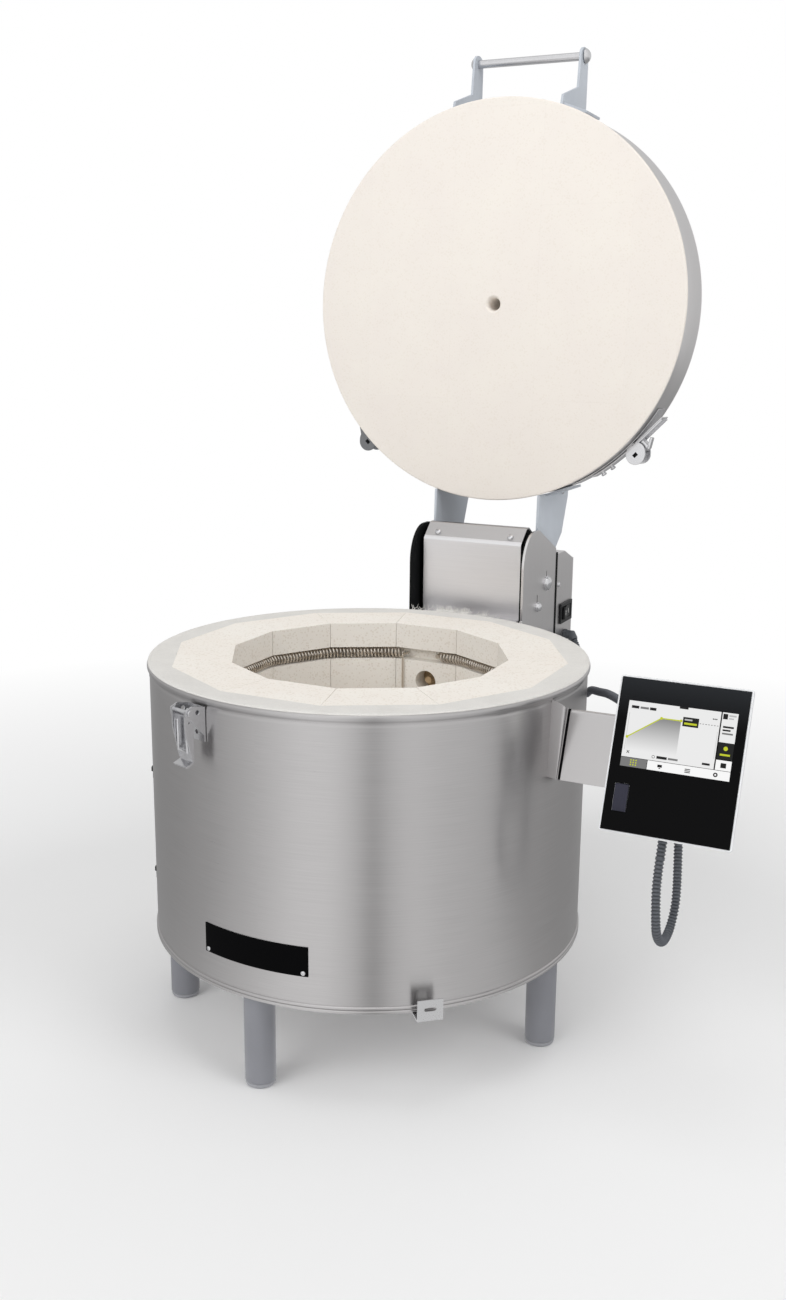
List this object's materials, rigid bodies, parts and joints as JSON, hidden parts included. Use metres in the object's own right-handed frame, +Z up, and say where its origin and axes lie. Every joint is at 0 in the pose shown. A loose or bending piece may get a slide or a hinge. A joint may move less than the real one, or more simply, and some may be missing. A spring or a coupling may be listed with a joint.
{
  "type": "top-loading ceramic kiln",
  "caption": "Round top-loading ceramic kiln: brick-lined steel drum on legs, hinged brick lid with a handle, rear switchgear box and a touch-screen controller on a side bracket.",
  "frame": {"origin": "middle of the whole footprint, on the ground under the feet", "axes": "+Z up, front with the latch and the plate towards -Y, hinge and switchgear box towards +Y, controller towards +X"},
  "size_m": [0.6613, 0.7002, 1.0918],
  "materials": {
    "stainless_sheet": "brushed stainless sheet",
    "zinc_steel": "bright zinc plate",
    "arm_paint": "satin grey paint",
    "leg_paint": "satin grey paint",
    "foot_plastic": "matte",
    "firebrick": "open-pored light firebrick",
    "fibre": "pressed fibre board",
    "element_wire": "oxidised heating wire",
    "white_ceramic": "fired ceramic",
    "black_plastic": "matte",
    "pale_plastic": "satin",
    "black_glass": "polished",
    "plate_black": "satin",
    "hose_grey": "satin"
  },
  "bodies": {
    "kiln": {"drum_jacket": "stainless_sheet", "seam_strip": "stainless_sheet", "seam_clips": "black_plastic", "floor_pan": "stainless_sheet", "floor_board": "fibre", "floor_brick": "firebrick", "wall_bricks": "firebrick", "backup_insulation": "fibre", "element_upper": "element_wire", "element_middle": "element_wire", "element_lower": "element_wire", "element_jumpers": "element_wire", "element_terminals": "element_wire", "terminal_bushings": "white_ceramic", "thermocouple": "white_ceramic", "legs": "leg_paint", "leg_feet": "foot_plastic", "slide_guides": "stainless_sheet", "latch_base": "zinc_steel", "latch_pin": "zinc_steel", "hinge_plate_left": "stainless_sheet", "hinge_plate_right": "stainless_sheet", "hinge_cover": "stainless_sheet", "hinge_crossbar": "stainless_sheet", "pivot_bolts": "zinc_steel", "stop_bolts": "zinc_steel", "switchgear_housing": "stainless_sheet", "rear_cover": "stainless_sheet", "switch_frame": "black_plastic", "box_gland": "black_plastic", "mains_gland": "black_plastic", "terminal_block": "white_ceramic", "power_relay": "black_plastic", "bracket_base": "stainless_sheet", "bracket_arm": "stainless_sheet", "bracket_bolts": "zinc_steel", "controller_housing": "pale_plastic", "controller_glass": "black_glass", "controller_gland": "black_plastic", "control_hose": "hose_grey", "name_plate": "plate_black"},
    "lid": {"lid_brick": "firebrick", "lid_band": "stainless_sheet", "lid_cover": "stainless_sheet", "lid_arm_left": "arm_paint", "lid_arm_right": "arm_paint", "handle_rod": "zinc_steel", "handle_caps": "zinc_steel", "band_tensioner_left": "zinc_steel", "band_tensioner_right": "zinc_steel"},
    "latch_lever": {"latch_lever": "zinc_steel"},
    "latch_bail": {"latch_bail": "zinc_steel"},
    "air_slide": {"air_slide": "stainless_sheet"},
    "switch_rocker": {"switch_rocker": "black_plastic"},
    "port_cover": {"port_cover": "black_plastic"}
  },
  "joints": [
    {"name": "lid_hinge", "type": "hinge", "parent": "kiln", "child": "lid", "pos_m": [-0.08985, 0.24401, 0.434], "axis": [1, 0, 0], "range_deg": [0, 92]},
    {"name": "latch_lever_hinge", "type": "hinge", "parent": "kiln", "child": "latch_lever", "pos_m": [-0.16623, -0.34223, 0.394], "axis": [-0.9537, 0.3007, 0], "range_deg": [0, 120]},
    {"name": "latch_bail_hinge", "type": "hinge", "parent": "latch_lever", "child": "latch_bail", "pos_m": [-0.16623, -0.34223, 0.384], "axis": [-0.9537, 0.3007, 0], "range_deg": [0, 40]},
    {"name": "air_slide_travel", "type": "slide", "parent": "kiln", "child": "air_slide", "axis": [0.6561, -0.7547, 0], "range_m": [0, 0.045]},
    {"name": "switch_rocker_tilt", "type": "hinge", "parent": "kiln", "child": "switch_rocker", "pos_m": [-0.01385, 0.32001, 0.383], "axis": [0, 0, -1], "range_deg": [0, 16]},
    {"name": "port_cover_hinge", "type": "hinge", "parent": "kiln", "child": "port_cover", "pos_m": [0.22165, -0.18276, 0.33358], "axis": [-1, 0, 0], "range_deg": [0, 100]}
  ]
}
